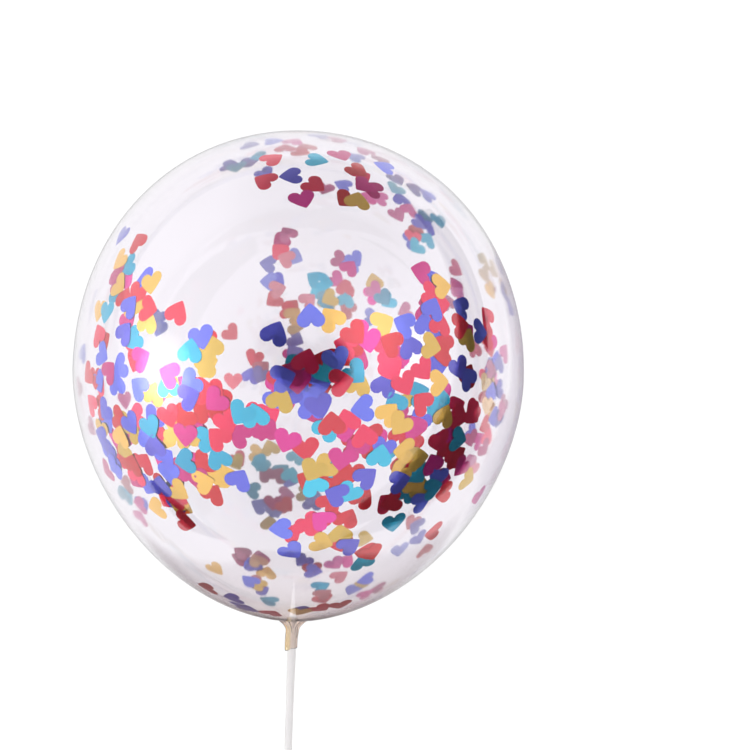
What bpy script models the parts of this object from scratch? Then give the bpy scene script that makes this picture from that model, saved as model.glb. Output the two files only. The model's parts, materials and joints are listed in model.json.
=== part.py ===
"""Clear latex party balloon with its neck pulled over a plastic stick, lying on a floor.

Units are metres and +Z is up. Both pieces are modelled upright around one axis, with the widest ring of the
balloon at the origin and the crown at +Z. They are then laid back as the real thing lies when it is loose: on a
small flat spot under the balloon and on the far end of the stick, with the crown towards +Y.
"""

import math

import bmesh
import bpy
from mathutils import Matrix, Vector

# Balloon body, a 12 inch balloon blown up to 285 mm. Crown and base are measured from the widest ring.
BALLOON_WIDTH = 0.285
CROWN_LENGTH = 0.1537
BASE_LENGTH = 0.1578
CROWN_POWER = 2.08
BASE_POWER = 1.83

# Neck: a short pleated funnel, then a sleeve of slack latex around the stick.
THROAT_WIDTH = 0.0242
FUNNEL_HEIGHT = 0.0078
FUNNEL_HOLLOW = 1.7
SLEEVE_LENGTH = 0.0118
SLEEVE_WALL = 0.0004
LIP_THICKNESS = 0.0005
PLEAT_COUNT = 8
PLEAT_DEPTH = 0.0005

# The slack of the neck is folded over into a tail on the front left of the sleeve.
FOLD_THICKNESS = 0.0017
FOLD_ANGLE = math.radians(42)
FOLD_SPREAD = math.radians(34)
FOLD_DROP = 0.0013

# Stick: a plastic tube, wider at the end that the neck is pulled over.
STICK_LENGTH = 0.300
STICK_WIDTH = 0.0048
STICK_TOP_WIDTH = 0.0061
STICK_FLARE = 0.065
STICK_BORE = 0.0030

# Air between the stick and the latex, so that the two solids don't touch.
CLEARANCE = 0.0003

# What keeps the balloon from rolling.
FLAT_SPOT_WIDTH = 0.026

SEGMENTS = 64
BODY_RINGS = 19
FUNNEL_RINGS = 5
SLEEVE_RINGS = 6
LIP_RINGS = 3
STICK_SEGMENTS = 24
FLARE_RINGS = 4

BALLOON_RADIUS = BALLOON_WIDTH / 2
THROAT_RADIUS = THROAT_WIDTH / 2


def clear_scene():
    for obj in list(bpy.data.objects):
        bpy.data.objects.remove(obj, do_unlink=True)


def material(name, colour, roughness, transmission=0.0):
    made = bpy.data.materials.new(name)
    made.use_nodes = True
    shader = made.node_tree.nodes["Principled BSDF"]
    shader.inputs["Base Color"].default_value = (*colour, 1.0)
    shader.inputs["Roughness"].default_value = roughness
    shader.inputs["Metallic"].default_value = 0.0
    shader.inputs["Transmission Weight"].default_value = transmission
    return made


def half_body(length, power, end_radius):
    """Points (radius, height over the widest ring) of one half of the body, from the widest ring outwards."""
    last = math.acos((end_radius / BALLOON_RADIUS) ** (power / 2))
    points = []
    for ring in range(BODY_RINGS + 1):
        turn = last * ring / BODY_RINGS
        radius = BALLOON_RADIUS * math.cos(turn) ** (2 / power)
        points.append((radius, length * math.sin(turn) ** (2 / power)))
    return points


def throat_height():
    """Height of the ring where the body turns into the funnel, below the widest ring."""
    return -half_body(BASE_LENGTH, BASE_POWER, THROAT_RADIUS)[-1][1]


def sleeve_top():
    return throat_height() - FUNNEL_HEIGHT


def sleeve_end():
    return sleeve_top() - SLEEVE_LENGTH


def stick_top():
    """The stick reaches up to the throat, less the clearance over its end."""
    return throat_height() - CLEARANCE


def stick_end():
    return stick_top() - STICK_LENGTH


def stick_radius(height):
    """Outer radius of the stick, which narrows below its top over the flare's length."""
    below = min(max(stick_top() - height, 0.0), STICK_FLARE) / STICK_FLARE
    eased = below * below * (3 - 2 * below)
    return (STICK_TOP_WIDTH + (STICK_WIDTH - STICK_TOP_WIDTH) * eased) / 2


def socket_radius(height):
    return stick_radius(height) + CLEARANCE


def sleeve_radius(height):
    return socket_radius(height) + SLEEVE_WALL


def funnel_points():
    """Trumpet from the throat to the sleeve, without its first ring, which belongs to the body."""
    points = []
    for ring in range(1, FUNNEL_RINGS + 1):
        down = ring / FUNNEL_RINGS
        height = throat_height() - FUNNEL_HEIGHT * down
        inner = sleeve_radius(sleeve_top())
        points.append((inner + (THROAT_RADIUS - inner) * (1 - down) ** FUNNEL_HOLLOW, height))
    return points


def lip_points():
    """Rounded lower lip, from the sleeve's outside to the edge of the socket."""
    outer = sleeve_radius(sleeve_end())
    inner = socket_radius(sleeve_end())
    middle = (outer + inner) / 2
    points = []
    for ring in range(1, LIP_RINGS + 1):
        turn = math.pi * ring / (LIP_RINGS + 1)
        radius = middle + (outer - middle) * math.cos(turn)
        points.append((radius, sleeve_end() - LIP_THICKNESS * math.sin(turn)))
    return points + [(inner, sleeve_end())]


def balloon_profile():
    """Outline from the crown down the outside, round the lip and up the socket to the axis."""
    crown = half_body(CROWN_LENGTH, CROWN_POWER, 0.0)
    base = half_body(BASE_LENGTH, BASE_POWER, THROAT_RADIUS)
    points = list(reversed(crown))
    points += [(radius, -below) for radius, below in base[1:]]
    points += funnel_points()
    for ring in range(1, SLEEVE_RINGS + 1):
        height = sleeve_top() - SLEEVE_LENGTH * ring / SLEEVE_RINGS
        points.append((sleeve_radius(height), height))
    points += lip_points()
    points.append((socket_radius(stick_top()), throat_height()))
    points.append((0.0, throat_height()))
    return points


def stick_profile():
    """Outline of the tube from its bore at the top, over the rim and down the outside, then up the bore."""
    bore = STICK_BORE / 2
    points = [(bore, stick_top())]
    for ring in range(FLARE_RINGS + 1):
        height = stick_top() - STICK_FLARE * ring / FLARE_RINGS
        points.append((stick_radius(height), height))
    points.append((stick_radius(stick_end()), stick_end()))
    points.append((bore, stick_end()))
    return points


def turned(profile, segments, closed):
    """A bmesh turned around Z from an outline of (radius, height) points."""
    bm = bmesh.new()
    verts = [bm.verts.new((radius, 0.0, height)) for radius, height in profile]
    edges = [bm.edges.new(pair) for pair in zip(verts, verts[1:])]
    if closed:
        edges.append(bm.edges.new((verts[-1], verts[0])))
    bmesh.ops.spin(
        bm, geom=verts + edges, cent=(0, 0, 0), axis=(0, 0, 1), angle=2 * math.pi, steps=segments, use_merge=True
    )
    bmesh.ops.remove_doubles(bm, verts=bm.verts, dist=1e-6)
    bmesh.ops.recalc_face_normals(bm, faces=bm.faces)
    return bm


def add_pleats(bm):
    """Gathers the funnel into pleats, deepest half way down it."""
    for vert in bm.verts:
        down = (throat_height() - vert.co.z) / FUNNEL_HEIGHT
        if not 0.0 < down < 1.0:
            continue
        across = vert.co.xy.length
        if across <= socket_radius(vert.co.z) + SLEEVE_WALL / 2:
            continue
        turn = math.atan2(vert.co.y, vert.co.x)
        push = PLEAT_DEPTH * math.sin(math.pi * down) * math.cos(PLEAT_COUNT * turn)
        vert.co.xy *= (across + push) / across


def add_fold(bm):
    """Swells the sleeve's outside into the folded tail, and lets the tail hang a little lower than the lip."""
    middle = -math.pi / 2 - FOLD_ANGLE
    span = FUNNEL_HEIGHT / 2 + SLEEVE_LENGTH
    for vert in bm.verts:
        across = vert.co.xy.length
        down = (sleeve_top() + FUNNEL_HEIGHT / 2 - vert.co.z) / span
        if down <= 0.0 or across <= socket_radius(vert.co.z) + SLEEVE_WALL / 4:
            continue
        away = math.remainder(math.atan2(vert.co.y, vert.co.x) - middle, 2 * math.pi) / FOLD_SPREAD
        if abs(away) >= 1.0:
            continue
        hump = math.cos(away * math.pi / 2) ** 0.7
        swell = math.sin(math.pi * min(down, 1.0) * 0.55 + 0.1) ** 0.5
        vert.co.xy *= (across + FOLD_THICKNESS * hump * swell) / across
        vert.co.z -= FOLD_DROP * hump * min(down, 1.0) ** 3


def height_of(point, tilt):
    """World height of an upright point once its axis leans at tilt over the floor, crown end up."""
    return point.z * math.sin(tilt) - point.y * math.cos(tilt)


def lowest(bm, tilt):
    return min(height_of(vert.co, tilt) for vert in bm.verts)


def flat_depth():
    return BALLOON_RADIUS - math.sqrt(BALLOON_RADIUS**2 - (FLAT_SPOT_WIDTH / 2) ** 2)


def resting_tilt(balloon, stick):
    """Lean of the axis at which the flat spot and the stick's far end reach the floor together."""
    low, high = 0.0, math.radians(80)
    for _ in range(50):
        tilt = (low + high) / 2
        if lowest(balloon, tilt) + flat_depth() < lowest(stick, tilt):
            low = tilt
        else:
            high = tilt
    return (low + high) / 2


def cut_flat_spot(bm, tilt):
    """Slices the underside off level with the floor and closes the cut."""
    up = Vector((0.0, -math.cos(tilt), math.sin(tilt)))
    floor = up * (lowest(bm, tilt) + flat_depth())
    cut = bmesh.ops.bisect_plane(
        bm, geom=bm.verts[:] + bm.edges[:] + bm.faces[:], plane_co=floor, plane_no=up, clear_inner=True, dist=1e-7
    )
    rim = [item for item in cut["geom_cut"] if isinstance(item, bmesh.types.BMEdge)]
    bmesh.ops.edgeloop_fill(bm, edges=rim)
    bmesh.ops.recalc_face_normals(bm, faces=bm.faces)


def add_object(name, bm, finish, parent):
    mesh = bpy.data.meshes.new(name)
    bm.to_mesh(mesh)
    bm.free()
    mesh.shade_smooth()
    mesh.set_sharp_from_angle(angle=math.radians(40))
    mesh.materials.append(finish)
    obj = bpy.data.objects.new(name, mesh)
    obj.parent = parent
    bpy.context.collection.objects.link(obj)
    return obj


def build():
    clear_scene()
    balloon = turned(balloon_profile(), SEGMENTS, closed=False)
    add_pleats(balloon)
    add_fold(balloon)
    stick = turned(stick_profile(), STICK_SEGMENTS, closed=True)

    tilt = resting_tilt(balloon, stick)
    floor = lowest(stick, tilt)
    cut_flat_spot(balloon, tilt)

    lie = Matrix.Rotation(tilt - math.pi / 2, 4, "X")
    reach = [(lie @ vert.co).y for bm in (balloon, stick) for vert in bm.verts]
    pose = bpy.data.objects.new("lying_axis", None)
    pose.location = (0.0, -(min(reach) + max(reach)) / 2, -floor)
    pose.rotation_euler = (tilt - math.pi / 2, 0.0, 0.0)
    bpy.context.collection.objects.link(pose)

    latex = material("clear_latex", (0.93, 0.92, 0.95), 0.04, transmission=1.0)
    plastic = material("translucent_plastic", (0.90, 0.89, 0.88), 0.35, transmission=0.4)
    add_object("balloon", balloon, latex, pose)
    add_object("stick", stick, plastic, pose)


build()
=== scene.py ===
# %% [markdown]
# A clear latex party balloon with heart-shaped foil confetti sealed in it, its neck pulled over a thin
# plastic stick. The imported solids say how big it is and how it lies: on a small flat spot under the balloon
# and on the far end of the stick. This lesson dresses them. The solid balloon gives way to a real film a
# tenth of a millimetre thick, the stick is turned again with a finer finish, and the confetti clings to the
# inside of the film, heart by heart.
#
# The frame comes first, because every later size is read from it. All lengths are in metres.

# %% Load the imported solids
import math
import random

import bmesh
import bpy
from mathutils import Matrix, Vector
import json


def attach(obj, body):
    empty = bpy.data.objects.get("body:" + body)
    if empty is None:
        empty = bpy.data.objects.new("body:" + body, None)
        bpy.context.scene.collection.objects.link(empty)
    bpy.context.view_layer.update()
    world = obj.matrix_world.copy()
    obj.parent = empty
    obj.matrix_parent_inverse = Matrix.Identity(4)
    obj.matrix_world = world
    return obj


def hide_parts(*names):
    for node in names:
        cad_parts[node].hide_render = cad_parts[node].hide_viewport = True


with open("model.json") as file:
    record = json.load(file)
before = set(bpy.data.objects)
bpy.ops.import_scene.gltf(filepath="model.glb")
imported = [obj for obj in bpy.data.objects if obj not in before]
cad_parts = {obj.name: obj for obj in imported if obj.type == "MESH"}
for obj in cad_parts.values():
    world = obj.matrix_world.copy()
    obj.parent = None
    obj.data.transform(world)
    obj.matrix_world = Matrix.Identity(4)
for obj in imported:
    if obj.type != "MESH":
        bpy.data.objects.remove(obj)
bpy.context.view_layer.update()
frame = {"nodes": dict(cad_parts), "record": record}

# %% [markdown]
# The object is round about one line, the axis from the stick's far end to the crown. The record's mount on
# the stick's end gives that line, and the solids' own corners give the rest: the widest ring, the crown,
# and the stick's length and thickness. Everything is modelled upright round the origin, with the widest
# ring at the origin and the crown at +Z, and then laid down by one matrix, which is easier than modelling
# at a slant.

# %% Read the axis and the sizes
STICK_FOOT = 0.001

mounts = {mount["name"]: mount for mount in frame["record"]["mounts"]}
axis = -Vector(mounts["stick_end"]["axis"]).normalized()
foot = Vector((0.0, *mounts["stick_end"]["pos_m"][1:]))


def along(point):
    """Distance up the axis from the stick's far end."""
    return (point - foot).dot(axis)


def off_axis(point):
    return (point - foot - axis * along(point)).length


balloon_points = [vert.co.copy() for vert in frame["nodes"]["balloon"].data.vertices]
stick_points = [vert.co.copy() for vert in frame["nodes"]["stick"].data.vertices]
widest = max(balloon_points, key=off_axis)
centre = foot + axis * along(widest)
BALLOON_RADIUS = off_axis(widest)
CROWN_LENGTH = max(along(point) for point in balloon_points) - along(widest)
STICK_END = -along(widest)
STICK_TOP = max(along(point) for point in stick_points) - along(widest)
STICK_TOP_RADIUS = max(off_axis(point) for point in stick_points)
STICK_RADIUS = max(off_axis(point) for point in stick_points if along(point) < STICK_FOOT)
print(f"balloon radius {BALLOON_RADIUS:.4f}, crown {CROWN_LENGTH:.4f}")
print(f"stick from {STICK_END:.4f} to {STICK_TOP:.4f}")

# %% [markdown]
# One matrix lays an upright mesh down. Its inverse stands a place in the scene upright again, which the
# confetti needs later to find the wall that the camera looks at.

# %% Lay an upright mesh down
right = Vector((1.0, 0.0, 0.0))
away = axis.cross(right)
lie = Matrix.Translation(centre) @ Matrix((right, away, axis)).transposed().to_4x4()
stand = lie.inverted()
print(f"the axis leans {math.degrees(math.asin(axis.z)):.2f} degrees over the floor")

# %% [markdown]
# The photograph shows the balloon upright from the side. A loose balloon lies, so the camera hangs over it
# and looks down square to its axis, which gives the same picture. The place of the balloon in the picture
# and the lens are written in pixels of a picture 750 wide, and the camera is moved sideways until they are
# right. It is also rolled by two degrees, because the balloon leans by that much in the photograph.

# %% Camera
PICTURE = 750
FOCAL = 1104
SENSOR = 36.0
BALLOON_PIXEL = (301.2, 374.0)
VIEW_DISTANCE = 0.7125
VIEW_LEAN = math.radians(2.0)

toward_camera = -away
camera_up = axis * math.cos(VIEW_LEAN) - right * math.sin(VIEW_LEAN)
camera_right = camera_up.cross(toward_camera)
pixel_size = VIEW_DISTANCE / FOCAL
camera_place = centre + toward_camera * VIEW_DISTANCE
camera_place += camera_right * (PICTURE / 2 - BALLOON_PIXEL[0]) * pixel_size
camera_place -= camera_up * (PICTURE / 2 - BALLOON_PIXEL[1]) * pixel_size

camera_data = bpy.data.cameras.new("camera")
camera_data.sensor_width = SENSOR
camera_data.lens = SENSOR * FOCAL / PICTURE
camera = bpy.data.objects.new("camera", camera_data)
turn = Matrix((camera_right, camera_up, toward_camera)).transposed().to_4x4()
camera.matrix_world = Matrix.Translation(camera_place) @ turn
bpy.context.scene.collection.objects.link(camera)
bpy.context.scene.camera = camera
print("camera at", camera_place)

# %% [markdown]
# A few helpers keep the later cells short: one adds a node with its settings, one sets inputs by name, one
# carries a value from one range to another, one multiplies, one gives the places on an object, one starts a
# material from its Principled shader, and one makes an object of a finished bmesh.

# %% Node helpers
def add_node(tree, kind, **settings):
    node = tree.nodes.new(kind)
    for name, value in settings.items():
        setattr(node, name, value)
    return node


def set_inputs(node, **values):
    """Sets inputs by name, with spaces for underscores."""
    for name, value in values.items():
        node.inputs[name.replace("_", " ")].default_value = value
    return node


def remap(tree, value, smooth=False, **values):
    """A value carried from one range to another, in a straight line or with soft ends."""
    kind = "SMOOTHSTEP" if smooth else "LINEAR"
    ranges = set_inputs(add_node(tree, "ShaderNodeMapRange", interpolation_type=kind), **values)
    tree.links.new(value, ranges.inputs["Value"])
    return ranges.outputs["Result"]


def multiply(tree, first, second):
    """The product of two sockets."""
    product = add_node(tree, "ShaderNodeMath", operation="MULTIPLY")
    tree.links.new(first, product.inputs[0])
    tree.links.new(second, product.inputs[1])
    return product.outputs["Value"]


def object_place(tree):
    """Places in the object's own coordinates, which patterns are laid out on."""
    return add_node(tree, "ShaderNodeTexCoord").outputs["Object"]


def start_material(name):
    made = bpy.data.materials.new(name)
    made.use_nodes = True
    return made, made.node_tree, made.node_tree.nodes["Principled BSDF"]


def add_object(name, bm):
    """Makes an object of a finished bmesh and puts it in the scene."""
    mesh = bpy.data.meshes.new(name)
    bm.to_mesh(mesh)
    bm.free()
    made = bpy.data.objects.new(name, mesh)
    bpy.context.scene.collection.objects.link(made)
    return made


print("helpers ready")

# %% [markdown]
# The floor is a plain white studio sweep that glows a little of its own, as a light table does. The glow
# keeps the shadows faint, which is what leaves the background of a product picture clean.

# %% Floor
FLOOR_SIZE = 6.0
FLOOR_DROP = 0.0003
FLOOR_GREY = (0.25, 0.25, 0.25, 1)
FLOOR_GLOW = 0.80
WHITE = (1, 1, 1, 1)

sheet = bmesh.new()
bmesh.ops.create_grid(sheet, x_segments=1, y_segments=1, size=FLOOR_SIZE / 2)
bmesh.ops.translate(sheet, verts=sheet.verts, vec=(0, 0, -FLOOR_DROP))
floor = add_object("floor", sheet)

floor_finish, floor_tree, floor_shader = start_material("white_sweep")
set_inputs(floor_shader, Base_Color=FLOOR_GREY, Roughness=0.9, Specular_IOR_Level=0.0)
set_inputs(floor_shader, Emission_Color=WHITE, Emission_Strength=FLOOR_GLOW)
floor.data.materials.append(floor_finish)
print("floor", FLOOR_SIZE, "across")

# %% [markdown]
# Clear film and foil show what they reflect, so the studio is built for its reflections: soft patches on
# the sky and boards round the object. Only a reflection may see them, and everything else is lit by an even
# pale sky. The Light Path node tells how many times light was mirrored on its way, also where it then went
# through the film.

# %% Tell a reflection from a direct view
def was_mirrored(tree):
    """1 for light that the camera sees by a reflection, 0 for what it sees directly or through the film."""
    ray = add_node(tree, "ShaderNodeLightPath")
    test = add_node(tree, "ShaderNodeMath", operation="GREATER_THAN")
    tree.links.new(ray.outputs["Glossy Depth"], test.inputs[0])
    return test.outputs["Value"]


print("reflections can be told apart")

# %% [markdown]
# A real balloon has a thin dark line along its outline, because there the film mirrors the darker floor
# close behind it. The floor of this studio glows, so a soft ring on it loses its glow, in reflections
# alone. The ring lies where the outline falls on the floor as the camera sees it, and a little further
# back. Where it starts and ends, inside and outside, is written as a share of its radii.

# %% Dark ring behind the balloon
RING_CENTRE = (-0.005, 0.235, 0.0)
RING_RADII = (0.193, 0.2225, 1.0)
RING_INSIDE = (0.88, 0.98)
RING_OUTSIDE = (1.30, 1.10)
RING_GLOW = 0.55

around = add_node(floor_tree, "ShaderNodeMapping", vector_type="TEXTURE")
set_inputs(around, Location=RING_CENTRE, Scale=RING_RADII)
floor_tree.links.new(object_place(floor_tree), around.inputs["Vector"])
distance = add_node(floor_tree, "ShaderNodeVectorMath", operation="LENGTH")
floor_tree.links.new(around.outputs["Vector"], distance.inputs[0])
ring = was_mirrored(floor_tree)
for start, end in (RING_INSIDE, RING_OUTSIDE):
    ramp = remap(floor_tree, distance.outputs["Value"], smooth=True, From_Min=start, From_Max=end)
    ring = multiply(floor_tree, ring, ramp)
ring_glow = remap(floor_tree, ring, To_Min=FLOOR_GLOW, To_Max=RING_GLOW)
floor_tree.links.new(ring_glow, floor_shader.inputs["Emission Strength"])
print("ring from", RING_INSIDE[0], "to", RING_OUTSIDE[0], "of the outline")

# %% [markdown]
# Each patch is a direction from the object, the half angles in degrees where it is full and where it has
# faded out, and how bright it is beside the sky. The two soft boxes make the highlights: a strong one on
# the left, with a glow round it, and a faint one on the right. The dark ones give the foil its deep
# colours.

# %% World
SKY_LIGHT = 1.05
SKY_COLOUR = (0.985, 0.985, 1.0, 1.0)
STUDIO_PATCHES = {
    "soft box on the left": ((-0.91, -0.17, 0.38), 5, 17, 2.2),
    "glow round it": ((-0.91, -0.17, 0.38), 8, 34, 1.25),
    "soft box on the right": ((0.59, 0.0, 0.80), 5, 22, 1.45),
    "opening on the camera's left": ((0.03, -0.27, 0.96), 9, 13, 0.04),
    "opening on the camera's right": ((0.27, -0.25, 0.93), 9, 13, 0.04),
    "dark lamp over the camera": ((-0.17, -0.09, 0.98), 5.5, 8, 0.04),
    "dark wall behind the crown": ((0.18, 0.85, 0.48), 16, 46, 0.30),
    "bright wall on the left": ((-0.96, 0.0, 0.28), 20, 60, 1.30),
}

world = bpy.data.worlds.new("studio")
world.use_nodes = True
bpy.context.scene.world = world
sky_tree = world.node_tree
looking = add_node(sky_tree, "ShaderNodeTexCoord")


def studio_patch(direction, inner, outer, level):
    """A factor on the sky: the level within the inner half angle, and 1 past the outer one."""
    dot = add_node(sky_tree, "ShaderNodeVectorMath", operation="DOT_PRODUCT")
    sky_tree.links.new(looking.outputs["Generated"], dot.inputs[0])
    dot.inputs[1].default_value = Vector(direction).normalized()
    edge = math.cos(math.radians(outer))
    core = math.cos(math.radians(inner))
    toward = dot.outputs["Value"]
    return remap(sky_tree, toward, smooth=True, From_Min=edge, From_Max=core, To_Min=1.0, To_Max=level)


sky_light = add_node(sky_tree, "ShaderNodeValue").outputs["Value"]
sky_light.default_value = SKY_LIGHT
reflected = sky_light
for patch in STUDIO_PATCHES.values():
    reflected = multiply(sky_tree, reflected, studio_patch(*patch))
sky = add_node(sky_tree, "ShaderNodeMix")
sky_tree.links.new(was_mirrored(sky_tree), sky.inputs["Factor"])
sky_tree.links.new(sky_light, sky.inputs["A"])
sky_tree.links.new(reflected, sky.inputs["B"])
background = sky_tree.nodes["Background"]
sky_tree.links.new(sky.outputs["Result"], background.inputs["Strength"])
background.inputs["Color"].default_value = SKY_COLOUR
print("studio with", len(STUDIO_PATCHES), "patches")

# %% [markdown]
# Four boards on the floor and one that stands on the right darken some of the rim and the hearts that face
# them, as a photographer does to give clear things an edge. A board fades out towards its borders, because
# a hard edge would show on the film as a line.

# %% Boards
MAUVE = (0.60, 0.56, 0.63)
BLACK = (0.03, 0.03, 0.04)
BROWN = (0.26, 0.20, 0.20)
BOARDS = {
    "board_right_rim": ((0.15, 0.0, 0.001), (0.37, 0.36, 0.002), 0.07, MAUVE),
    "board_right_wall": ((0.90, -1.80, -0.07), (0.91, 1.40, 0.36), 0.06, BLACK),
    "board_right_front": ((0.44, -1.30, 0.001), (1.00, 0.04, 0.002), 0.08, BLACK),
    "board_front": ((-0.22, -0.95, 0.001), (0.26, 0.02, 0.002), 0.08, BROWN),
    "board_left_front": ((-0.80, -0.80, 0.001), (-0.38, -0.33, 0.002), 0.05, BLACK),
}


def board_finish(name, low, high, fade, shade):
    """A shade that only reflections see, and that fades out along the borders."""
    finish, tree, shader = start_material(name)
    tree.nodes.remove(shader)
    place = add_node(tree, "ShaderNodeSeparateXYZ")
    tree.links.new(object_place(tree), place.inputs["Vector"])
    cover = was_mirrored(tree)
    for side, start, end in zip("XYZ", low, high):
        for border, inside in ((start, start + fade), (end, end - fade)):
            if end - start > fade:
                ramp = remap(tree, place.outputs[side], smooth=True, From_Min=border, From_Max=inside)
                cover = multiply(tree, cover, ramp)
    unseen = add_node(tree, "ShaderNodeBsdfTransparent")
    seen = set_inputs(add_node(tree, "ShaderNodeEmission"), Color=(*shade, 1))
    choice = add_node(tree, "ShaderNodeMixShader")
    tree.links.new(cover, choice.inputs["Fac"])
    tree.links.new(unseen.outputs["BSDF"], choice.inputs[1])
    tree.links.new(seen.outputs["Emission"], choice.inputs[2])
    tree.links.new(choice.outputs["Shader"], tree.nodes["Material Output"].inputs["Surface"])
    return finish


def add_board(name, low, high, fade, shade):
    """A board between two corners, with the width of its soft border and the shade that it shows."""
    box = bmesh.new()
    bmesh.ops.create_cube(box, size=1.0)
    bmesh.ops.scale(box, verts=box.verts, vec=Vector(high) - Vector(low))
    bmesh.ops.translate(box, verts=box.verts, vec=(Vector(low) + Vector(high)) / 2)
    board = add_object(name, box)
    board.data.materials.append(board_finish(name, low, high, fade, shade))
    board.visible_camera = board.visible_diffuse = board.visible_shadow = False


for name, values in BOARDS.items():
    add_board(name, *values)
print(len(BOARDS), "boards placed")

# %% [markdown]
# The film of the body is turned from one outline. Each half is a superellipse, fuller than an ellipse over
# the crown and slimmer towards the neck, with the same powers as the solid so that both have one outline.
# Under it comes the trumpet-shaped funnel, and then the sleeve of slack latex that hugs the stick, which is
# a little wider at its top.

# %% Outline of the film
CROWN_POWER = 2.08
BASE_LENGTH = 0.1578
BASE_POWER = 1.83
THROAT_RADIUS = 0.0121
FUNNEL_HEIGHT = 0.0078
FUNNEL_HOLLOW = 1.7
SLEEVE_LENGTH = 0.0118
SLEEVE_WALL = 0.0004
CLEARANCE = 0.0003
STICK_FLARE = 0.065
BODY_RINGS = 46
FUNNEL_RINGS = 14
SLEEVE_RINGS = 18
TINY = 1e-6

THROAT = STICK_TOP + CLEARANCE
SLEEVE_TOP = THROAT - FUNNEL_HEIGHT
SLEEVE_END = SLEEVE_TOP - SLEEVE_LENGTH


def clamp(share):
    return min(max(share, 0.0), 1.0)


def ease(share):
    """A share from 0 to 1 with a soft start and a soft end."""
    return share * share * (3 - 2 * share)


def half_body(length, power, end_radius):
    """Points (radius, height over the widest ring) of one half of the body, from the widest ring outwards."""
    last = math.acos((end_radius / BALLOON_RADIUS) ** (power / 2))
    points = []
    for ring in range(BODY_RINGS + 1):
        turn = last * ring / BODY_RINGS
        radius = BALLOON_RADIUS * math.cos(turn) ** (2 / power)
        points.append((radius, length * math.sin(turn) ** (2 / power)))
    return points


def stick_radius(height):
    """Outer radius of the stick, which narrows below its top over the flare's length."""
    below = ease(clamp((STICK_TOP - height) / STICK_FLARE))
    return STICK_TOP_RADIUS + (STICK_RADIUS - STICK_TOP_RADIUS) * below


def sleeve_radius(height):
    return stick_radius(height) + CLEARANCE + SLEEVE_WALL


def film_outline():
    """Outside of the film from the crown down to the lip."""
    crown = half_body(CROWN_LENGTH, CROWN_POWER, 0.0)
    base = half_body(BASE_LENGTH, BASE_POWER, THROAT_RADIUS)
    points = list(reversed(crown)) + [(radius, -below) for radius, below in base[1:]]
    inner = sleeve_radius(SLEEVE_TOP)
    for ring in range(1, FUNNEL_RINGS + 1):
        down = ring / FUNNEL_RINGS
        flare = (THROAT_RADIUS - inner) * (1 - down) ** FUNNEL_HOLLOW
        points.append((inner + flare, THROAT - FUNNEL_HEIGHT * down))
    for ring in range(1, SLEEVE_RINGS + 1):
        height = SLEEVE_TOP - SLEEVE_LENGTH * ring / SLEEVE_RINGS
        points.append((sleeve_radius(height), height))
    return points


outline = film_outline()
print("film outline of", len(outline), "points down to", round(SLEEVE_END, 4))

# %% [markdown]
# Latex that is gathered doesn't stay round. The funnel folds into pleats of uneven depth, which start in
# the last of the body as faint rays: three waves of different counts are added up, each with its share and
# its start. The slack of the sleeve is folded over into a tail at the front left. Both are pushes of the
# turned mesh along its radius, worked out from where a vertex is. A push inwards stops short of the stick,
# where nine tenths of the wall's thickness are left.

# %% Pleats and fold
PLEAT_DEPTH = 0.0006
PLEAT_RUNOUT = 0.006
PLEAT_WAVES = ((8, 1.0, 0.0), (13, 0.5, 1.3), (19, 0.35, 0.4))
FOLD_THICKNESS = 0.0017
FOLD_ANGLE = math.radians(42)
FOLD_SPREAD = math.radians(34)
FOLD_DROP = 0.0013
FOLD_BLUNTNESS = 0.7
SWELL_START = 0.1
SWELL_TURN = 0.55
TIGHTEST_WALL = 0.9 * SLEEVE_WALL


def pleat_push(turn, height):
    """How far the pleats push the film out at one place."""
    down = (THROAT + PLEAT_RUNOUT - height) / (FUNNEL_HEIGHT + 2 * PLEAT_RUNOUT)
    if not 0.0 < down < 1.0:
        return 0.0
    wave = sum(share * math.cos(count * turn + start) for count, share, start in PLEAT_WAVES)
    return PLEAT_DEPTH * math.sin(math.pi * down) ** 1.5 * wave


def fold_push(turn, height):
    """How far the folded tail swells the sleeve, and how far it hangs down there."""
    down = (SLEEVE_TOP + FUNNEL_HEIGHT / 2 - height) / (FUNNEL_HEIGHT / 2 + SLEEVE_LENGTH)
    aside = math.remainder(turn + math.pi / 2 + FOLD_ANGLE, 2 * math.pi) / FOLD_SPREAD
    if down <= 0.0 or abs(aside) >= 1.0:
        return 0.0, 0.0
    hump = math.cos(aside * math.pi / 2) ** FOLD_BLUNTNESS
    swell = math.sin(math.pi * min(down, 1.0) * SWELL_TURN + SWELL_START) ** 0.5
    return FOLD_THICKNESS * hump * swell, FOLD_DROP * hump * min(down, 1.0) ** 3


def shape_neck(bm):
    """Pushes pleats and fold into the part of the film below the body."""
    for vert in bm.verts:
        radius = vert.co.xy.length
        if vert.co.z > THROAT + PLEAT_RUNOUT or radius < TINY:
            continue
        turn = math.atan2(vert.co.y, vert.co.x)
        out, drop = fold_push(turn, vert.co.z)
        out += pleat_push(turn, vert.co.z)
        tightest = stick_radius(vert.co.z) + CLEARANCE + TIGHTEST_WALL
        vert.co.xy *= max(radius + out, tightest) / radius
        vert.co.z -= drop


print(len(PLEAT_WAVES), "waves of pleats, fold", FOLD_THICKNESS)

# %% [markdown]
# The outline is spun round Z and welded. Two attributes tell the latex where it isn't stretched: warm grows
# from the last of the body to the neck, and fold is 1 on the middle of the folded tail. Where the body
# would dip under the floor it is flattened, which is the small flat spot that it rests on.

# %% Film
FILM_SEGMENTS = 160
UP = (0, 0, 1)
NECK_START = 0.008
NECK_FADE = 0.012
WARM_START = 0.050
WARM_SHARE = 0.30


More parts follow.
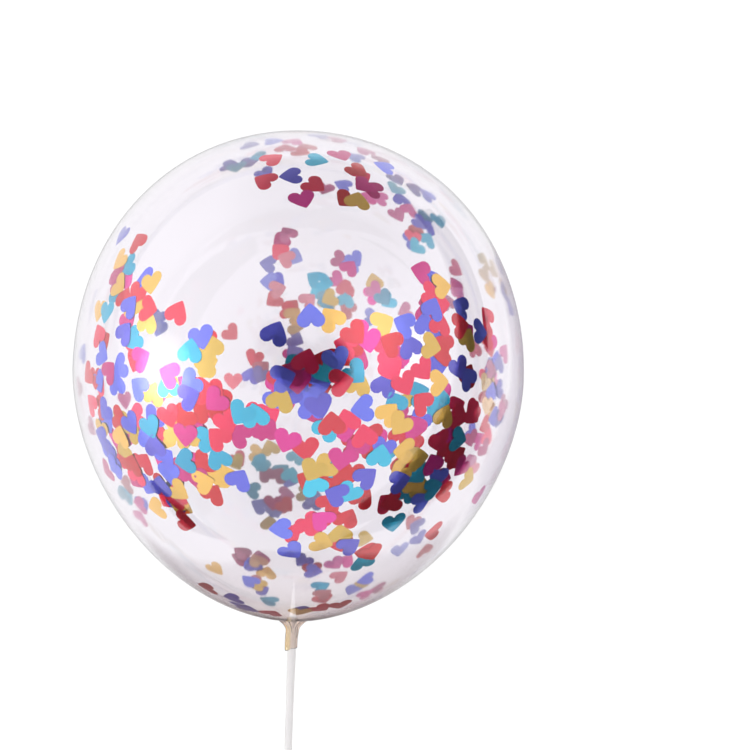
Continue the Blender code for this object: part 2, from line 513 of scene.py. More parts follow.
def turned(points, segments, closed=False):
    """A bmesh turned round Z from an outline of (radius, height) points, and welded."""
    bm = bmesh.new()
    ring = [bm.verts.new((radius, 0.0, height)) for radius, height in points]
    following = ring[1:] + ring[:1] if closed else ring[1:]
    edges = [bm.edges.new(pair) for pair in zip(ring, following)]
    bmesh.ops.spin(
        bm, geom=ring + edges, cent=(0, 0, 0), axis=UP, angle=2 * math.pi, steps=segments, use_merge=True
    )
    bmesh.ops.remove_doubles(bm, verts=bm.verts, dist=TINY)
    bmesh.ops.recalc_face_normals(bm, faces=bm.faces)
    return bm


film_bm = turned(outline, FILM_SEGMENTS)
film_bm.verts.index_update()
neck_values = []
warm_values = []
fold_values = []
for vert in film_bm.verts:
    neck_values.append(ease(clamp((THROAT + NECK_START - vert.co.z) / NECK_FADE)))
    warm = clamp((THROAT + WARM_START - vert.co.z) / WARM_START)
    warm_values.append(max(neck_values[-1], WARM_SHARE * warm * warm))
    fold_values.append(fold_push(math.atan2(vert.co.y, vert.co.x), vert.co.z)[0] / FOLD_THICKNESS)
shape_neck(film_bm)
bmesh.ops.transform(film_bm, matrix=lie, verts=film_bm.verts)
for vert in film_bm.verts:
    vert.co.z = max(vert.co.z, 0.0)

film = add_object("balloon_skin", film_bm)
film.data.shade_smooth()
film.data.attributes.new("warm", "FLOAT", "POINT").data.foreach_set("value", warm_values)
film.data.attributes.new("fold", "FLOAT", "POINT").data.foreach_set("value", fold_values)
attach(film, "root")
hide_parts("balloon")
print("film of", len(film.data.polygons), "faces")

# %% [markdown]
# A Solidify modifier gives the film its wall, inwards from the outline. The wall is about a tenth of a
# millimetre where the latex is stretched and over three times that at the neck, so a vertex group weights
# it.

# %% Wall of the film
FILM_WALL = 0.00012

stretched = FILM_WALL / SLEEVE_WALL
wall_group = film.vertex_groups.new(name="wall")
for index, share in enumerate(neck_values):
    wall_group.add([index], stretched + (1 - stretched) * share, "REPLACE")
wall = film.modifiers.new("wall", "SOLIDIFY")
wall.thickness = SLEEVE_WALL
wall.offset = -1.0
wall.vertex_group = "wall"
print("wall from", FILM_WALL, "to", SLEEVE_WALL)

# %% [markdown]
# Surfaces are built from a few steps again and again: a noise, a mix of two colours, a base with a share of
# something added, and an attribute read from the mesh. A shader group holds the look of a surface, and one
# helper places it in a material and feeds the shader from it.

# %% Surface helpers
def start_group(name, inputs, outputs):
    """A shader group with named sockets. Returns it with its input and output nodes."""
    group = bpy.data.node_groups.new(name, "ShaderNodeTree")
    for socket, kind, value in inputs:
        made = group.interface.new_socket(socket, in_out="INPUT", socket_type=kind)
        made.default_value = value
    for socket, kind in outputs:
        group.interface.new_socket(socket, in_out="OUTPUT", socket_type=kind)
    return group, group.nodes.new("NodeGroupInput"), group.nodes.new("NodeGroupOutput")


def read_attribute(tree, name):
    return add_node(tree, "ShaderNodeAttribute", attribute_name=name).outputs["Fac"]


def add_noise(tree, place, **values):
    noise = set_inputs(add_node(tree, "ShaderNodeTexNoise"), **values)
    tree.links.new(place, noise.inputs["Vector"])
    return noise.outputs["Fac"]


def mix_colours(tree, factor, first, second):
    """The first colour where the factor is 0, and the second where it is 1."""
    mix = add_node(tree, "ShaderNodeMix", data_type="RGBA")
    tree.links.new(factor, mix.inputs["Factor"])
    tree.links.new(first, mix.inputs["A"])
    tree.links.new(second, mix.inputs["B"])
    return mix.outputs["Result"]


def add_share(tree, value, share, base):
    """The base plus a share of the value."""
    total = add_node(tree, "ShaderNodeMath", operation="MULTIPLY_ADD")
    tree.links.new(value, total.inputs[0])
    total.inputs[1].default_value = share
    tree.links.new(base, total.inputs[2])
    return total.outputs["Value"]


def apply_look(tree, shader, group, relief=None, **values):
    """Feeds a shader from a group. The relief of a surface, where it has one, is a strength and a depth."""
    look = set_inputs(add_node(tree, "ShaderNodeGroup", node_tree=group), **values)
    tree.links.new(look.outputs["Colour"], shader.inputs["Base Color"])
    tree.links.new(look.outputs["Roughness"], shader.inputs["Roughness"])
    if relief:
        bump = set_inputs(add_node(tree, "ShaderNodeBump"), Strength=relief[0], Distance=relief[1])
        tree.links.new(look.outputs["Height"], bump.inputs["Height"])
        tree.links.new(bump.outputs["Normal"], shader.inputs["Normal"])


print("surface helpers ready")

# %% [markdown]
# Clear latex is not water clear. It veils a little, so what lies far behind it looks soft, and it is amber
# where it isn't stretched. The veil is the roughness of the glass-like shader. Light from lamps passes
# straight through by the Light Path switch, because a thin film casts next to no shadow.

# %% Latex
VEIL_SCALE = 14.0
VEIL_UNEVENNESS = (0.85, 1.2)
LAMP_TINT = (0.95, 0.945, 0.96, 1)

latex_group, group_in, group_out = start_group(
    "latex_film",
    [
        ("Stretched", "NodeSocketColor", (0.943, 0.923, 0.953, 1)),
        ("Slack", "NodeSocketColor", (1.0, 0.905, 0.84, 1)),
        ("Folded", "NodeSocketColor", (1.0, 0.83, 0.51, 1)),
        ("Haze", "NodeSocketFloat", 0.035),
    ],
    [("Colour", "NodeSocketColor"), ("Roughness", "NodeSocketFloat")],
)
warm = read_attribute(latex_group, "warm")
tint = mix_colours(latex_group, warm, group_in.outputs["Stretched"], group_in.outputs["Slack"])
fold = read_attribute(latex_group, "fold")
amber = mix_colours(latex_group, fold, tint, group_in.outputs["Folded"])
latex_group.links.new(amber, group_out.inputs["Colour"])
clouds = add_noise(latex_group, object_place(latex_group), Scale=VEIL_SCALE, Detail=3.0, Roughness=0.55)
least, most = VEIL_UNEVENNESS
mottle = remap(latex_group, clouds, From_Min=0.3, From_Max=0.7, To_Min=least, To_Max=most)
haze = multiply(latex_group, mottle, group_in.outputs["Haze"])
latex_group.links.new(haze, group_out.inputs["Roughness"])

latex, tree, shader = start_material("clear_latex")
apply_look(tree, shader, latex_group)
set_inputs(shader, Transmission_Weight=1.0, IOR=1.5, Metallic=0.0)
clear = set_inputs(add_node(tree, "ShaderNodeBsdfTransparent"), Color=LAMP_TINT)
ray = add_node(tree, "ShaderNodeLightPath")
switch = add_node(tree, "ShaderNodeMixShader")
tree.links.new(ray.outputs["Is Shadow Ray"], switch.inputs["Fac"])
tree.links.new(shader.outputs["BSDF"], switch.inputs[1])
tree.links.new(clear.outputs["BSDF"], switch.inputs[2])
tree.links.new(switch.outputs["Shader"], tree.nodes["Material Output"].inputs["Surface"])
film.data.materials.append(latex)
print("latex ready")

# %% [markdown]
# The stick is an extruded tube. It is turned from its outline, with a small round on both rims.

# %% Stick
BORE_RADIUS = 0.0015
RIM_ROUND = 0.0003
ROUND_MIDDLE = 0.3
SHARP_ANGLE = math.radians(50)
FLARE_RINGS = 12
STICK_RINGS = 24
STICK_SEGMENTS = 48

corner = RIM_ROUND * ROUND_MIDDLE
stick_outline = [(BORE_RADIUS, STICK_TOP), (STICK_TOP_RADIUS - RIM_ROUND, STICK_TOP)]
stick_outline.append((STICK_TOP_RADIUS - corner, STICK_TOP - corner))
for ring in range(1, FLARE_RINGS + 1):
    height = STICK_TOP - RIM_ROUND - (STICK_FLARE - RIM_ROUND) * (ring - 1) / (FLARE_RINGS - 1)
    stick_outline.append((stick_radius(height), height))
for ring in range(1, STICK_RINGS + 1):
    height = STICK_TOP - STICK_FLARE + (STICK_END + RIM_ROUND - STICK_TOP + STICK_FLARE) * ring / STICK_RINGS
    stick_outline.append((STICK_RADIUS, height))
stick_outline.append((STICK_RADIUS - corner, STICK_END + corner))
stick_outline.append((STICK_RADIUS - RIM_ROUND, STICK_END))
stick_outline.append((BORE_RADIUS, STICK_END))

tube = turned(stick_outline, STICK_SEGMENTS, closed=True)
bmesh.ops.transform(tube, matrix=lie, verts=tube.verts)
stick = add_object("stick_tube", tube)
stick.data.shade_smooth()
stick.data.set_sharp_from_angle(angle=SHARP_ANGLE)
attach(stick, "root")
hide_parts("stick")
print("stick of", len(stick.data.polygons), "faces")

# %% [markdown]
# The plastic of the stick is milky, so it lets only some of the light through. Extrusion leaves fine lines
# along it: a noise drawn out along the axis, as the relief of the surface. A second noise clouds it and
# dulls its polish here and there.

# %% Milky plastic
DIE_LINES = (2200, 18, 2200)
DIE_RELIEF = (0.25, 0.0001)
CLOUD_SCALE = 90.0
SCUFF_SHARE = 0.2

plastic_group, group_in, group_out = start_group(
    "extruded_plastic",
    [
        ("Plastic", "NodeSocketColor", (0.955, 0.935, 0.925, 1)),
        ("Cloudy", "NodeSocketColor", (0.98, 0.96, 0.955, 1)),
        ("Polish", "NodeSocketFloat", 0.32),
    ],
    [("Colour", "NodeSocketColor"), ("Roughness", "NodeSocketFloat"), ("Height", "NodeSocketFloat")],
)
place = object_place(plastic_group)
lengthwise = add_node(plastic_group, "ShaderNodeMapping")
set_inputs(lengthwise, Rotation=(-math.asin(axis.z), 0, 0), Scale=DIE_LINES)
plastic_group.links.new(place, lengthwise.inputs["Vector"])
lines = add_noise(plastic_group, lengthwise.outputs["Vector"], Scale=1.0, Detail=2.0)
clouds = add_noise(plastic_group, place, Scale=CLOUD_SCALE, Detail=3.0)
milk = mix_colours(plastic_group, clouds, group_in.outputs["Plastic"], group_in.outputs["Cloudy"])
polish = add_share(plastic_group, clouds, SCUFF_SHARE, group_in.outputs["Polish"])
plastic_group.links.new(milk, group_out.inputs["Colour"])
plastic_group.links.new(polish, group_out.inputs["Roughness"])
plastic_group.links.new(lines, group_out.inputs["Height"])

plastic, tree, shader = start_material("translucent_plastic")
apply_look(tree, shader, plastic_group, relief=DIE_RELIEF)
set_inputs(shader, Transmission_Weight=0.35, IOR=1.49)
stick.data.materials.append(plastic)
print("plastic ready")

# %% [markdown]
# Confetti clings to the film, so a heart's place is a place on the inner wall. The photograph shows two
# walls one behind the other. A line of sight through a pixel meets the near wall first and the far wall
# after it, and the wall's own formula tells whether a point is inside: fullness is 1 on the wall and less
# within.

# %% Find the wall behind a pixel
INNER_RADIUS = BALLOON_RADIUS - FILM_WALL
INNER_CROWN = CROWN_LENGTH - FILM_WALL
INNER_BASE = BASE_LENGTH - FILM_WALL
HALVINGS = 30
SIGHT_STEPS = 60
eye = stand @ camera_place


def half_of(point):
    """Length and power of the half of the body that a point is in."""
    return (INNER_CROWN, CROWN_POWER) if point.z > 0 else (INNER_BASE, BASE_POWER)


def to_wall(point):
    """The factor that takes an upright point outwards or inwards to the inner wall."""
    length, power = half_of(point)
    fullness = (point.xy.length / INNER_RADIUS) ** power + (abs(point.z) / length) ** power
    return fullness ** (-1 / power)


def line_of_sight(pixel):
    across = camera_right * (pixel[0] - PICTURE / 2) + camera_up * (PICTURE / 2 - pixel[1])
    return (stand.to_3x3() @ (across - toward_camera * FOCAL)).normalized()


def halfway_in(outside, inside, sight):
    """Distance along a line of sight at which it crosses the wall, by halving."""
    for _ in range(HALVINGS):
        middle = (outside + inside) / 2
        if to_wall(eye + sight * middle) < 1.0:
            outside = middle
        else:
            inside = middle
    return inside


def wall_point(pixel, far=False):
    """The place on the near or far inner wall at a pixel. Past the rim, the nearest place on it."""
    sight = line_of_sight(pixel)
    nearest = VIEW_DISTANCE - BALLOON_RADIUS
    steps = [nearest + 2 * BALLOON_RADIUS * step / SIGHT_STEPS for step in range(SIGHT_STEPS + 1)]
    deepest = max(steps, key=lambda reach: to_wall(eye + sight * reach))
    point = eye + sight * deepest
    if to_wall(point) > 1.0:
        start = VIEW_DISTANCE + 2 * BALLOON_RADIUS if far else VIEW_DISTANCE - 2 * BALLOON_RADIUS
        point = eye + sight * halfway_in(start, deepest, sight)
    return point * to_wall(point)


def wall_normal(point):
    """Outward direction of the wall, from the slope of its formula."""
    length, power = half_of(point)
    radius = max(point.xy.length, TINY)
    outward = point.xy.normalized() * (radius / INNER_RADIUS) ** (power - 1) / INNER_RADIUS
    upward = math.copysign((abs(point.z) / length) ** (power - 1) / length, point.z)
    return Vector((outward.x, outward.y, upward)).normalized()


print("the middle of the picture meets the near wall at", wall_point(BALLOON_PIXEL))

# %% [markdown]
# One real lamp, a large soft box overhead on the left, gives the stick its light and dark side. The film
# and the foil don't mirror it, because their highlights come from the sky.

# %% Soft box
LAMP_SIZE = 0.6
LAMP_POWER = 3.0
LAMP_PLACE = (-0.9, -0.1, 0.9)

lamp_data = bpy.data.lights.new("soft_box", "AREA")
lamp_data.shape = "DISK"
lamp_data.size = LAMP_SIZE
lamp_data.energy = LAMP_POWER
lamp = bpy.data.objects.new("soft_box", lamp_data)
lamp.location = LAMP_PLACE
lamp.rotation_euler = (centre - lamp.location).to_track_quat("-Z", "Y").to_euler()
lamp.visible_glossy = lamp.visible_transmission = False
bpy.context.scene.collection.objects.link(lamp)
print("soft box placed")

# %% [markdown]
# One heart is punched from foil: two round lobes and a point. Half of its outline is a vertex spun round
# the middle of a lobe and then on along a wide arc to the point. It is mirrored and filled, and a bevel
# rounds the point. Then it is poked so that its middle can stand up a little, and given the thickness of
# the foil.

# %% One heart
HEART_WIDTH = 0.0150
LOBE_CENTRE = Vector((0.243, 0, 0)) * HEART_WIDTH
LOBE_RADIUS = 0.257 * HEART_WIDTH
LOBE_END = math.radians(-36)
HEART_POINT = Vector((0, -0.62, 0)) * HEART_WIDTH
POINT_ROUND = 0.065 * HEART_WIDTH
LOBE_STEPS = 6
SIDE_STEPS = 2
POINT_STEPS = 3
FOIL_THICKNESS = 0.00004
HEART_DOME = 0.00008

cleft = Vector((0, math.sqrt(LOBE_RADIUS**2 - LOBE_CENTRE.x**2), 0))
lobe_turn = LOBE_END - math.atan2(cleft.y, -LOBE_CENTRE.x)
out_of_lobe = Vector((math.cos(LOBE_END), math.sin(LOBE_END), 0))
shoulder = LOBE_CENTRE + out_of_lobe * LOBE_RADIUS
to_point = HEART_POINT - shoulder
side_radius = -to_point.length_squared / (2 * to_point.dot(out_of_lobe))
side_centre = shoulder - out_of_lobe * side_radius
side_turn = math.atan2(HEART_POINT.y - side_centre.y, HEART_POINT.x - side_centre.x) - LOBE_END

heart_bm = bmesh.new()
first = heart_bm.verts.new(cleft)
bmesh.ops.spin(heart_bm, geom=[first], cent=LOBE_CENTRE, axis=UP, angle=lobe_turn, steps=LOBE_STEPS)
heart_bm.verts.ensure_lookup_table()
edge_end = heart_bm.verts[-1]
bmesh.ops.spin(heart_bm, geom=[edge_end], cent=side_centre, axis=UP, angle=side_turn, steps=SIDE_STEPS)
half = heart_bm.verts[:] + heart_bm.edges[:]
bmesh.ops.mirror(heart_bm, geom=half, matrix=Matrix.Identity(4), merge_dist=TINY, axis="X")
bmesh.ops.remove_doubles(heart_bm, verts=heart_bm.verts, dist=TINY)
bmesh.ops.edgeloop_fill(heart_bm, edges=heart_bm.edges)
tip = [min(heart_bm.verts, key=lambda vert: vert.co.y)]
bmesh.ops.bevel(
    heart_bm, geom=tip, offset=POINT_ROUND, affect="VERTICES", segments=POINT_STEPS, profile=0.5, material=-1
)
bmesh.ops.recalc_face_normals(heart_bm, faces=heart_bm.faces)
if heart_bm.faces[:][0].normal.z < 0:
    bmesh.ops.reverse_faces(heart_bm, faces=heart_bm.faces)
bmesh.ops.poke(heart_bm, faces=heart_bm.faces, offset=HEART_DOME)
bmesh.ops.solidify(heart_bm, geom=heart_bm.faces[:], thickness=FOIL_THICKNESS)
bmesh.ops.recalc_face_normals(heart_bm, faces=heart_bm.faces)
heart_mesh = bpy.data.meshes.new("one_heart")
heart_bm.to_mesh(heart_mesh)
heart_bm.free()
heart_corners = [vert.co.copy() for vert in heart_mesh.vertices]
heart_backs = [1.0 if face.normal.z < -0.5 else 0.0 for face in heart_mesh.polygons]
print("one heart of", len(heart_mesh.polygons), "faces,", int(sum(heart_backs)), "of them its back")

# %% [markdown]
# The hearts cling in drifts. Each drift is written as a path over the picture and the colours of its hearts
# from one end to the other: b, r, m, c and g for blue, red, magenta, cyan and gold. The places were read
# off the photograph.

# %% Drifts on the near wall
NEAR_DRIFTS = {
    "crown left": (((269, 160), (268, 181), (295, 175), (311, 183), (301, 196), (313, 159)), "rrbrmc"),
    "crown right": (((354, 168), (358, 176), (367, 184), (376, 190), (357, 203), (349, 197)), "rrmmgr"),
    "crown rim": (((339, 153), (388, 168)), "mb"),
    "left loner": (((138, 244), (175, 316)), "rr"),
    "left column": (((124, 232), (122, 257), (118, 274), (117, 284), (115, 291), (107, 308)), "bgmgcc"),
    "left clump": (((151, 279), (138, 290), (145, 308), (127, 309), (122, 302), (146, 326)), "grrbrg"),
    "left pair": (((122, 336), (136, 337)), "bc"),
    "left edge": (((99, 338), (100, 353), (89, 372), (97, 378), (107, 374)), "rbrbm"),
    "left middle": (((138, 360), (122, 365), (117, 388)), "mbb"),
    "highlight foot": (
        ((189, 355), (172, 376), (168, 390), (193, 380), (185, 398), (141, 390), (152, 398)),
        "cmcbbbg",
    ),
    "highlight side": (((200, 333), (211, 350), (209, 364)), "bgg"),
    "low edge": (
        ((93, 407), (106, 408), (101, 427), (103, 438), (108, 452), (115, 465), (108, 470)),
        "rbgbbbm",
    ),
    "low edge inner": (((116, 417), (128, 420), (130, 433), (120, 440), (125, 448)), "rbggg"),
    "low edge foot": (((124, 455), (132, 468), (136, 478), (143, 466)), "rrrr"),
    "left band blue": (((139, 416), (148, 423), (147, 440), (155, 450), (163, 460), (168, 470)), "rcbbbb"),
    "left band warm": (((167, 412), (170, 430), (186, 414), (185, 431), (188, 442), (203, 440)), "rgrmgc"),
    "left band red": (((200, 391), (218, 398), (205, 412), (225, 418), (220, 410), (221, 441)), "rmrrrr"),
    "left band end": (((188, 461), (206, 461), (180, 470), (195, 474), (220, 462)), "crmmc"),
    "left foot gold": (((200, 483), (220, 476), (237, 483), (211, 497)), "ggbr"),
    "left foot": (
        ((148, 483), (163, 491), (180, 488), (170, 500), (186, 499), (155, 506), (182, 521)),
        "bbgrrggr",
    ),
    "middle loner": (((273, 337),), "b"),
    "middle pair": (((311, 320), (334, 322)), "bg"),
    "middle left": (((243, 410), (256, 420), (262, 425), (243, 437), (288, 437), (267, 408)), "ccmmmr"),
    "middle blue": (((279, 379), (290, 378), (275, 395), (290, 392), (279, 404)), "bmbbg"),
    "middle dark": (
        ((305, 365), (297, 377), (324, 368), (335, 355), (352, 370), (315, 384), (337, 383)),
        "rmcbcbr",
    ),
    "middle foot": (((308, 390), (318, 402), (312, 412)), "bbb"),
    "red shelf": (
        ((352, 330), (368, 336), (350, 347), (352, 354), (395, 345), (382, 352), (390, 366)),
        "rmrrrrr",
    ),
    "red shelf end": (((403, 380), (421, 366), (380, 325)), "rrg"),
    "shoulder top": (
        ((408, 326), (432, 312), (426, 328), (428, 293), (438, 303), (439, 286), (425, 273)),
        "bbbrrgm",
    ),
    "shoulder": (
        ((440, 328), (428, 345), (447, 347), (412, 350), (458, 326), (467, 342), (446, 353)),
        "rgrbrgr",
    ),
    "shoulder navy": (((438, 362), (464, 309), (478, 331), (458, 364), (470, 381)), "bbbbb"),
    "right rim": (((489, 320), (490, 338)), "rr"),
    "right middle": (((357, 388), (383, 389), (367, 408), (386, 417), (403, 421), (397, 407)), "gbbggc"),
    "right middle end": (
        ((416, 395), (436, 383), (425, 405), (440, 402), (443, 420), (457, 416), (472, 412)),
        "cgrcgrr",
    ),
    "right band": (
        ((423, 417), (417, 430), (400, 438), (439, 438), (456, 439), (446, 455), (455, 458)),
        "bmrrcrr",
    ),
    "right band end": (((434, 467), (440, 474), (464, 464)), "mbm"),
    "right foot": (
        ((408, 451), (403, 470), (417, 472), (430, 490), (418, 504), (414, 487), (396, 483)),
        "ggccbgb",
    ),
    "right foot end": (((396, 501), (394, 520), (447, 492), (466, 479), (436, 531), (479, 494)), "rcrgrm"),
    "low shelf": (
        ((332, 428), (348, 425), (324, 432), (305, 445), (342, 455), (358, 452), (365, 440)),
        "rrcrmmr",
    ),
    "low shelf end": (((375, 437), (385, 445), (379, 460)), "rbc"),
    "low middle": (
        ((315, 467), (328, 465), (312, 482), (335, 480), (352, 470), (363, 480), (316, 489)),
        "ggrrrbc",
    ),
    "low middle end": (((340, 496), (352, 490), (327, 506), (360, 502), (325, 522), (345, 522)), "bcrrmr"),
    "bottom": (
        ((305, 530), (315, 525), (285, 529), (289, 549), (318, 542), (340, 537), (346, 548)),
        "rrbbggb",
    ),
    "bottom end": (((370, 551), (363, 565)), "rc"),
    "bottom rim": (
        ((210, 589), (236, 599), (245, 608), (270, 614), (300, 611), (318, 608), (340, 604)),
        "rbbrgrr",
    ),
}
print("near wall:", sum(len(colours) for _, colours in NEAR_DRIFTS.values()), "hearts")

# %% [markdown]
# The far wall shows between the hearts of the near one. The film in front of it veils it a little, so its
# hearts look softer and paler, which is how they were told apart.

# %% Drifts on the far wall
FAR_DRIFTS = {
    "chain": (
        ((283, 239), (281, 252), (292, 256), (271, 264), (275, 280), (276, 298), (290, 309), (293, 325)),
        "mrbbbrrg",
    ),
    "chain end": (((293, 338), (289, 358)), "bm"),
    "arch left": (
        ((337, 258), (350, 267), (334, 278), (348, 289), (317, 280), (320, 291), (326, 297)),
        "mbmrccc",
    ),
    "arch foot": (((345, 302), (326, 305), (350, 311), (306, 302)), "cgrr"),
    "arch right": (((375, 284), (370, 296), (390, 299), (369, 317), (408, 311)), "gmcbm"),
    "crown grey": (((226, 165), (236, 165), (247, 162), (263, 171), (262, 155)), "bcbbc"),
    "crown red": (((285, 149), (292, 142), (298, 151), (307, 148), (367, 152)), "rmrrm"),
    "crown rim": (((247, 145), (270, 141), (318, 136), (335, 139), (358, 158)), "bbbmb"),
    "crown middle": (((325, 186), (346, 186), (367, 199), (383, 199)), "mbmm"),
    "right sweep": (
        ((380, 160), (395, 177), (397, 187), (417, 190), (430, 197), (402, 201), (396, 212)),
        "mbcbbbm",
    ),
    "right sweep end": (
        ((409, 211), (438, 218), (423, 217), (427, 228), (417, 232), (409, 241), (427, 241)),
        "mccbrbc",
    ),
    "left middle": (((229, 331), (255, 355), (250, 378), (260, 370), (233, 378)), "rrbrr"),
    "left pair": (((159, 315), (160, 325), (124, 397)), "bbm"),
    "low grey": (
        ((236, 457), (254, 453), (262, 462), (268, 476), (280, 473), (290, 478), (255, 491)),
        "rgcmcbc",
    ),
    "low grey end": (
        ((262, 507), (276, 510), (283, 495), (285, 506), (295, 459), (302, 493), (312, 506)),
        "bbmrcgb",
    ),
    "low loner": (((270, 526),), "g"),
    "bottom left": (
        ((213, 567), (243, 560), (260, 560), (253, 567), (266, 575), (258, 582), (258, 590)),
        "gmmbgrb",
    ),
    "bottom": (
        ((272, 602), (305, 559), (312, 567), (344, 563), (337, 578), (318, 588), (322, 598)),
        "cbrmrcr",
    ),
    "bottom right": (((355, 588), (366, 582), (380, 588), (362, 539)), "bgmg"),
    "right low": (((414, 520), (418, 537), (400, 548), (425, 552)), "rbbr"),
    "shoulder": (((454, 267), (457, 288), (449, 305)), "rmm"),
    "right rim top": (((484, 262), (484, 272), (490, 287), (500, 266), (504, 287), (511, 306)), "ggmbgb"),
    "right rim": (
        ((490, 345), (476, 352), (504, 355), (497, 363), (485, 372), (496, 380), (490, 384)),
        "rrmbrmg",
    ),
    "right rim foot": (((501, 389), (484, 400), (491, 412), (500, 416), (505, 402), (487, 424)), "brgbmr"),
    "right rim end": (((470, 431), (477, 442), (487, 440), (466, 460), (475, 466)), "bmrmr"),
    "left rim": (
        ((82, 356), (79, 385), (90, 425), (126, 496), (128, 485), (141, 502), (140, 519)),
        "bmmcrbm",
    ),
}
print("far wall:", sum(len(colours) for _, colours in FAR_DRIFTS.values()), "hearts")

# %% [markdown]
# Foil is stiffer than latex, so a heart follows most of the film's curve but not all of it. Each is turned
# at random about its middle and tilted by half a degree or so, and no two catch the light alike. Hearts
# that overlap are layered: a heart takes the layer nearest to the film that none of its neighbours holds.
# Where two hearts of a drift lie close, and not up at the crown, one more lies half hidden beneath them, as
# in a real drift.

# %% Lay the hearts
LAYER = 0.00011
BEND = 0.70
TILT = math.radians(0.6)
NEIGHBOUR = HEART_WIDTH * 0.9
DULLNESS = (0.35, 1)
COLOURS = {"b": "blue", "r": "red", "m": "magenta", "c": "cyan", "g": "gold"}
UNDER_GAP = 21
UNDER_DRIFT = 5
UNDER_EXTRA = "rmm"
CROWN_LINE = 225
SEED = 41

chance = random.Random(SEED)
laid = []
under = []
foils = {letter: bmesh.new() for letter in COLOURS}
tones = {letter: [] for letter in COLOURS}
backs = {letter: [] for letter in COLOURS}


def free_layer(place, beneath):
    """The layer for a new heart: the outermost free one, or beneath, one deeper than all its neighbours'."""
    taken = {layer for other, layer in laid if (other - place).length < NEIGHBOUR}
    if beneath:
        return max(taken, default=0) + 1
    return next(layer for layer in range(1, len(laid) + 2) if layer not in taken)


def random_facing(outward):
    """A heart's turn: its front outwards, spun at random and tilted a little."""
    spun = Matrix.Rotation(chance.uniform(0, 2 * math.pi), 3, "Z")
    tipped = Matrix.Rotation(chance.gauss(0, TILT), 3, "X")
    rolled = Matrix.Rotation(chance.gauss(0, TILT), 3, "Y")
    return outward.to_track_quat("Z", "Y").to_matrix() @ spun @ tipped @ rolled


def lay_heart(letter, place, beneath=False):
    """Bends a heart to the wall at a place and sets it on its layer."""
    outward = wall_normal(place)
    layer = free_layer(place, beneath)
    laid.append((place, layer))
    facing = random_facing(outward)
    corners = []
    for corner in heart_corners:
        flat = place + facing @ corner
        bent = flat * to_wall(flat) - outward * (HEART_DOME - corner.z)
        corners.append(flat.lerp(bent, BEND))
    gap = min(corner.length * (to_wall(corner) - 1) for corner in corners)
    push = outward * (layer * LAYER - gap)
    bm = foils[letter]
    start = len(bm.verts)
    bm.from_mesh(heart_mesh)
    bm.verts.ensure_lookup_table()
    for vert, corner in zip(bm.verts[start:], corners):
        vert.co = lie @ (corner - push)
    dullness = chance.uniform(*DULLNESS)
    tones[letter] += [chance.uniform(0, 1)] * len(heart_corners)
    backs[letter] += [back * dullness for back in heart_backs]


def spread_along(path, count):
    """Places spread along a path by its points: with as many hearts as points, one on each."""
    for step in range(count):
        reach = (len(path) - 1) * step / max(count - 1, 1)
        index = min(int(reach), max(len(path) - 2, 0))
        here = Vector(path[index])
        following = Vector(path[min(index + 1, len(path) - 1)])
        yield here.lerp(following, reach - index)


def lay_drift(path, colours, far):
    """Lays a drift, and lists a half-hidden heart for each pair of its close neighbours below the crown."""
    pixels = list(spread_along(path, len(colours)))
    for letter, pixel in zip(colours, pixels):
        lay_heart(letter, wall_point(pixel, far))
    for index, (here, following) in enumerate(zip(pixels, pixels[1:])):
        if here.y > CROWN_LINE and (following - here).length < UNDER_GAP:
            beside = Vector((chance.gauss(0, UNDER_DRIFT), chance.gauss(0, UNDER_DRIFT)))
            choices = colours[index : index + 2] if far else colours + UNDER_EXTRA
            under.append((chance.choice(choices), here.lerp(following, 0.5) + beside, far))


for path, colours in NEAR_DRIFTS.values():
    lay_drift(path, colours, far=False)
for path, colours in FAR_DRIFTS.values():
    lay_drift(path, colours, far=True)
for letter, pixel, far in under:
    lay_heart(letter, wall_point(pixel, far), beneath=True)
print(len(laid), "hearts laid, up to", max(layer for _, layer in laid), "deep")

# %% [markdown]
# The foil is metallised film: a coloured metal with a fine satin grain. One group gives every colour its
# grain, and a tone that is different for each heart, so that no two neighbours are quite the same. The back
# of a heart is duller than its front, and how much duller differs too.

# %% Foil
TONE_LIGHT = (0.76, 1.14)
TONE_HUE = (0.51, 0.49)
GRAIN_SCALE = 3500.0
GRAIN_SHARE = 0.08
GRAIN_RELIEF = (0.12, 0.00005)
BACK_SIDE = {"Saturation": 0.52, "Value": 0.76}
METAL = 0.9
FOILS = {
    "b": (0.17, 0.185, 0.84),
    "r": (0.89, 0.05, 0.10),
    "m": (0.80, 0.05, 0.32),
    "c": (0.06, 0.58, 0.80),
    "g": (0.94, 0.61, 0.125),
}

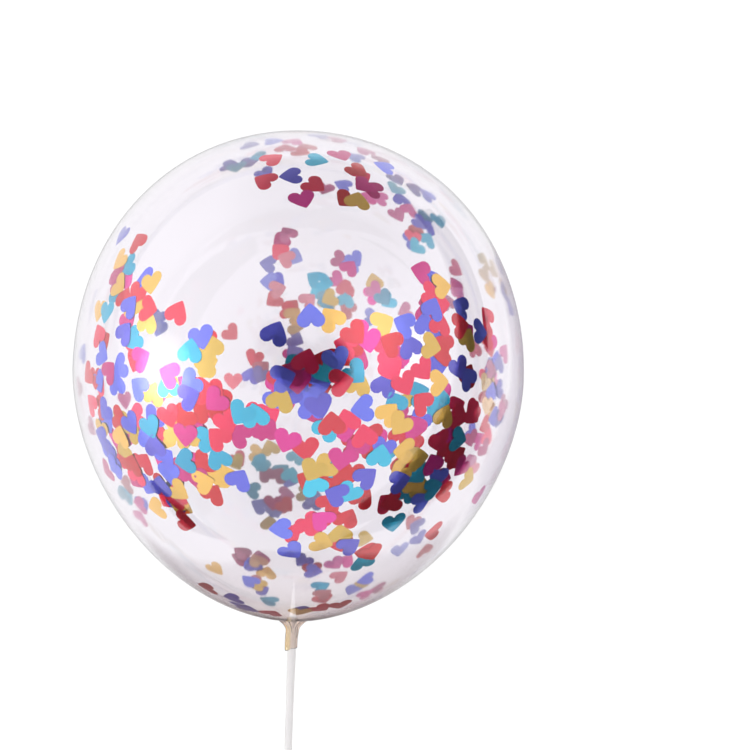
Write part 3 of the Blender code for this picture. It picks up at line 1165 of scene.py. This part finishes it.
foil_group, group_in, group_out = start_group(
    "satin_foil",
    [
        ("Foil", "NodeSocketColor", (0.8, 0.1, 0.1, 1)),
        ("Satin", "NodeSocketFloat", 0.13),
    ],
    [("Colour", "NodeSocketColor"), ("Roughness", "NodeSocketFloat"), ("Height", "NodeSocketFloat")],
)
tone = read_attribute(foil_group, "tone")
front = add_node(foil_group, "ShaderNodeHueSaturation")
foil_group.links.new(group_in.outputs["Foil"], front.inputs["Color"])
for name, (least, most) in {"Value": TONE_LIGHT, "Hue": TONE_HUE}.items():
    foil_group.links.new(remap(foil_group, tone, To_Min=least, To_Max=most), front.inputs[name])
dulled = set_inputs(add_node(foil_group, "ShaderNodeHueSaturation"), **BACK_SIDE)
foil_group.links.new(front.outputs["Color"], dulled.inputs["Color"])
back = read_attribute(foil_group, "back")
sides = mix_colours(foil_group, back, front.outputs["Color"], dulled.outputs["Color"])
foil_group.links.new(sides, group_out.inputs["Colour"])
grain = add_noise(foil_group, object_place(foil_group), Scale=GRAIN_SCALE, Detail=2.0)
satin = add_share(foil_group, grain, GRAIN_SHARE, group_in.outputs["Satin"])
foil_group.links.new(satin, group_out.inputs["Roughness"])
foil_group.links.new(grain, group_out.inputs["Height"])


def foil(letter):
    made, tree, shader = start_material("foil_" + COLOURS[letter])
    apply_look(tree, shader, foil_group, relief=GRAIN_RELIEF, Foil=(*FOILS[letter], 1))
    set_inputs(shader, Metallic=METAL)
    return made


print("foils in", len(FOILS), "colours")

# %% [markdown]
# All hearts of one colour are one piece. The tone of each heart and the dullness of its back go with the
# mesh as attributes, which the foil reads.

# %% Hearts by colour
for letter, colour in COLOURS.items():
    hearts = add_object("hearts_" + colour, foils[letter])
    hearts.data.attributes.new("tone", "FLOAT", "POINT").data.foreach_set("value", tones[letter])
    hearts.data.attributes.new("back", "FLOAT", "FACE").data.foreach_set("value", backs[letter])
    hearts.data.materials.append(foil(letter))
    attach(hearts, "root")
    print(hearts.name, len(hearts.data.polygons), "faces")
bpy.data.meshes.remove(heart_mesh)

# %% [markdown]
# The picture is shown as the studio lit it, with no film curve, so the Standard view keeps the whites
# white.

# %% Finish
bpy.context.scene.view_settings.view_transform = "Standard"
